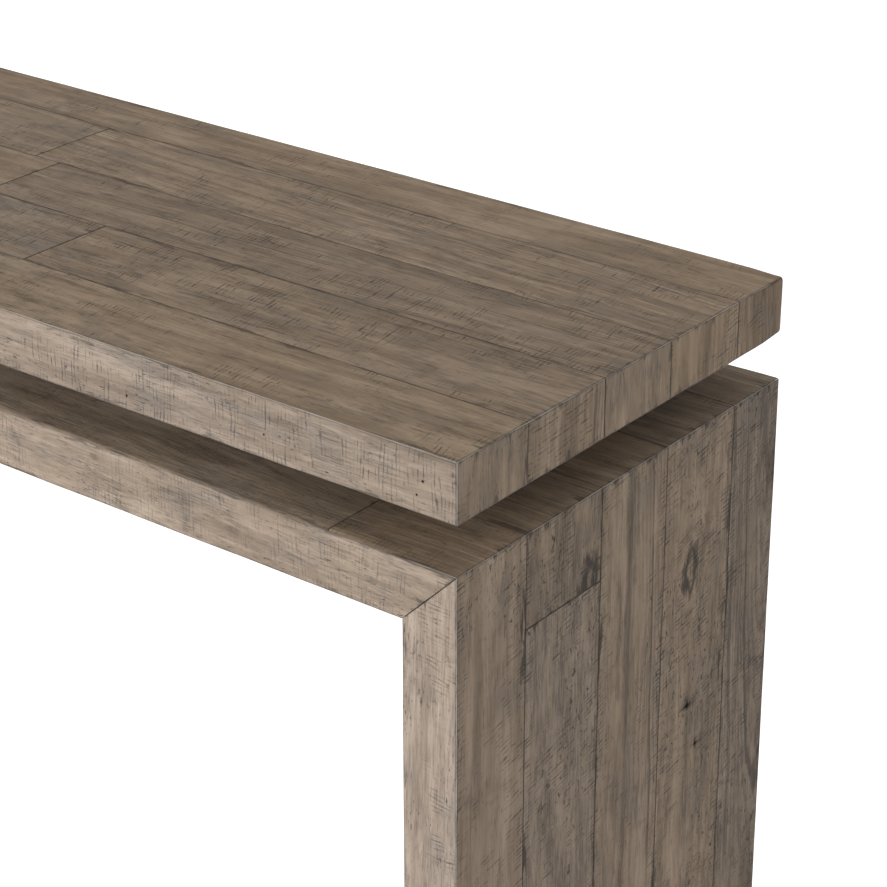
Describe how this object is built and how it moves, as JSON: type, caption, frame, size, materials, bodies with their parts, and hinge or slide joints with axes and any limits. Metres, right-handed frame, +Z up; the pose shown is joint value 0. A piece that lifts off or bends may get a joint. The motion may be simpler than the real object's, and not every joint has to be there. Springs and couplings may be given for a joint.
{
  "type": "console table",
  "caption": "Long narrow waterfall console table of weathered planks: a thick top floats over a plank rail and two full-depth panel legs.",
  "frame": {"origin": "on the floor under the middle of the table", "axes": "+X along the table to its right end, +Y to the back, +Z up"},
  "size_m": [1.8, 0.4, 0.76],
  "materials": {
    "top_wood": "weathered reclaimed pine, grey-brown, matt waxed",
    "end_block_wood": "weathered reclaimed pine, grey-brown, matt waxed",
    "edge_wood": "weathered reclaimed pine, lighter beige brown, matt waxed",
    "rail_wood": "weathered reclaimed pine, grey-brown, matt waxed",
    "leg_wood": "weathered reclaimed pine, saw-marked, matt waxed",
    "lining_wood": "plain sawn pine boards",
    "core_wood": "plain pine battens",
    "riser_wood": "dark-stained pine",
    "screw_steel": "zinc plated",
    "stem_steel": "zinc plated",
    "insert_brass": "plain brass",
    "pad_plastic": "moulded black plastic"
  },
  "bodies": {
    "table": {"foot_inserts": "insert_brass", "leg_left_back_edge": "edge_wood", "leg_left_core": "core_wood", "leg_left_front_edge": "edge_wood", "leg_left_lining": "lining_wood", "leg_left_plank_1": "leg_wood", "leg_left_plank_2": "leg_wood", "leg_left_plank_3": "leg_wood", "leg_left_plank_4": "leg_wood", "leg_left_plank_5": "leg_wood", "leg_right_back_edge": "edge_wood", "leg_right_core": "core_wood", "leg_right_front_edge": "edge_wood", "leg_right_lining": "lining_wood", "leg_right_plank_1": "leg_wood", "leg_right_plank_2_lower": "leg_wood", "leg_right_plank_2_upper": "leg_wood", "leg_right_plank_3": "leg_wood", "leg_right_plank_4": "leg_wood", "leg_right_plank_5": "leg_wood", "rail_back_edge": "edge_wood", "rail_core_battens": "core_wood", "rail_front_edge": "edge_wood", "rail_lining": "lining_wood", "rail_plank_1_left": "rail_wood", "rail_plank_1_right": "rail_wood", "rail_plank_2": "rail_wood", "rail_plank_3": "rail_wood", "rail_plank_4": "rail_wood", "rail_plank_5": "rail_wood", "rail_to_riser_screws": "screw_steel", "riser_centre": "riser_wood", "riser_left": "riser_wood", "riser_right": "riser_wood", "riser_to_top_screws": "screw_steel", "top_back_edge": "edge_wood", "top_core_battens": "core_wood", "top_front_edge": "edge_wood", "top_left_end_blocks": "end_block_wood", "top_lining": "lining_wood", "top_plank_1": "top_wood", "top_plank_2_left": "top_wood", "top_plank_2_right": "top_wood", "top_plank_3_left": "top_wood", "top_plank_3_right": "top_wood", "top_plank_4_left": "top_wood", "top_plank_4_right": "top_wood", "top_plank_5": "top_wood", "top_right_end_blocks": "end_block_wood"},
    "pad_front_left": {"foot_pad_front_left": "pad_plastic"},
    "stem_front_left": {"foot_stem_front_left": "stem_steel"},
    "pad_front_right": {"foot_pad_front_right": "pad_plastic"},
    "stem_front_right": {"foot_stem_front_right": "stem_steel"},
    "pad_back_left": {"foot_pad_back_left": "pad_plastic"},
    "stem_back_left": {"foot_stem_back_left": "stem_steel"},
    "pad_back_right": {"foot_pad_back_right": "pad_plastic"},
    "stem_back_right": {"foot_stem_back_right": "stem_steel"}
  },
  "joints": [
    {"name": "pad_slide_front_left", "type": "slide", "parent": "table", "child": "pad_front_left", "axis": [0, 0, 1], "range_m": [-0.01, 0]},
    {"name": "stem_turn_front_left", "type": "hinge", "parent": "pad_front_left", "child": "stem_front_left", "pos_m": [-0.873, -0.16, 0.02], "axis": [0, 0, 1], "range_deg": [-2880, 0]},
    {"name": "pad_slide_front_right", "type": "slide", "parent": "table", "child": "pad_front_right", "axis": [0, 0, 1], "range_m": [-0.01, 0]},
    {"name": "stem_turn_front_right", "type": "hinge", "parent": "pad_front_right", "child": "stem_front_right", "pos_m": [0.873, -0.16, 0.02], "axis": [0, 0, 1], "range_deg": [-2880, 0]},
    {"name": "pad_slide_back_left", "type": "slide", "parent": "table", "child": "pad_back_left", "axis": [0, 0, 1], "range_m": [-0.01, 0]},
    {"name": "stem_turn_back_left", "type": "hinge", "parent": "pad_back_left", "child": "stem_back_left", "pos_m": [-0.873, 0.16, 0.02], "axis": [0, 0, 1], "range_deg": [-2880, 0]},
    {"name": "pad_slide_back_right", "type": "slide", "parent": "table", "child": "pad_back_right", "axis": [0, 0, 1], "range_m": [-0.01, 0]},
    {"name": "stem_turn_back_right", "type": "hinge", "parent": "pad_back_right", "child": "stem_back_right", "pos_m": [0.873, 0.16, 0.02], "axis": [0, 0, 1], "range_deg": [-2880, 0]}
  ],
  "couplings": [
    {"joint": "pad_slide_front_left", "follows": "stem_turn_front_left", "m_per_rad": 0.00019894},
    {"joint": "pad_slide_front_right", "follows": "stem_turn_front_right", "m_per_rad": 0.00019894},
    {"joint": "pad_slide_back_left", "follows": "stem_turn_back_left", "m_per_rad": 0.00019894},
    {"joint": "pad_slide_back_right", "follows": "stem_turn_back_right", "m_per_rad": 0.00019894}
  ]
}
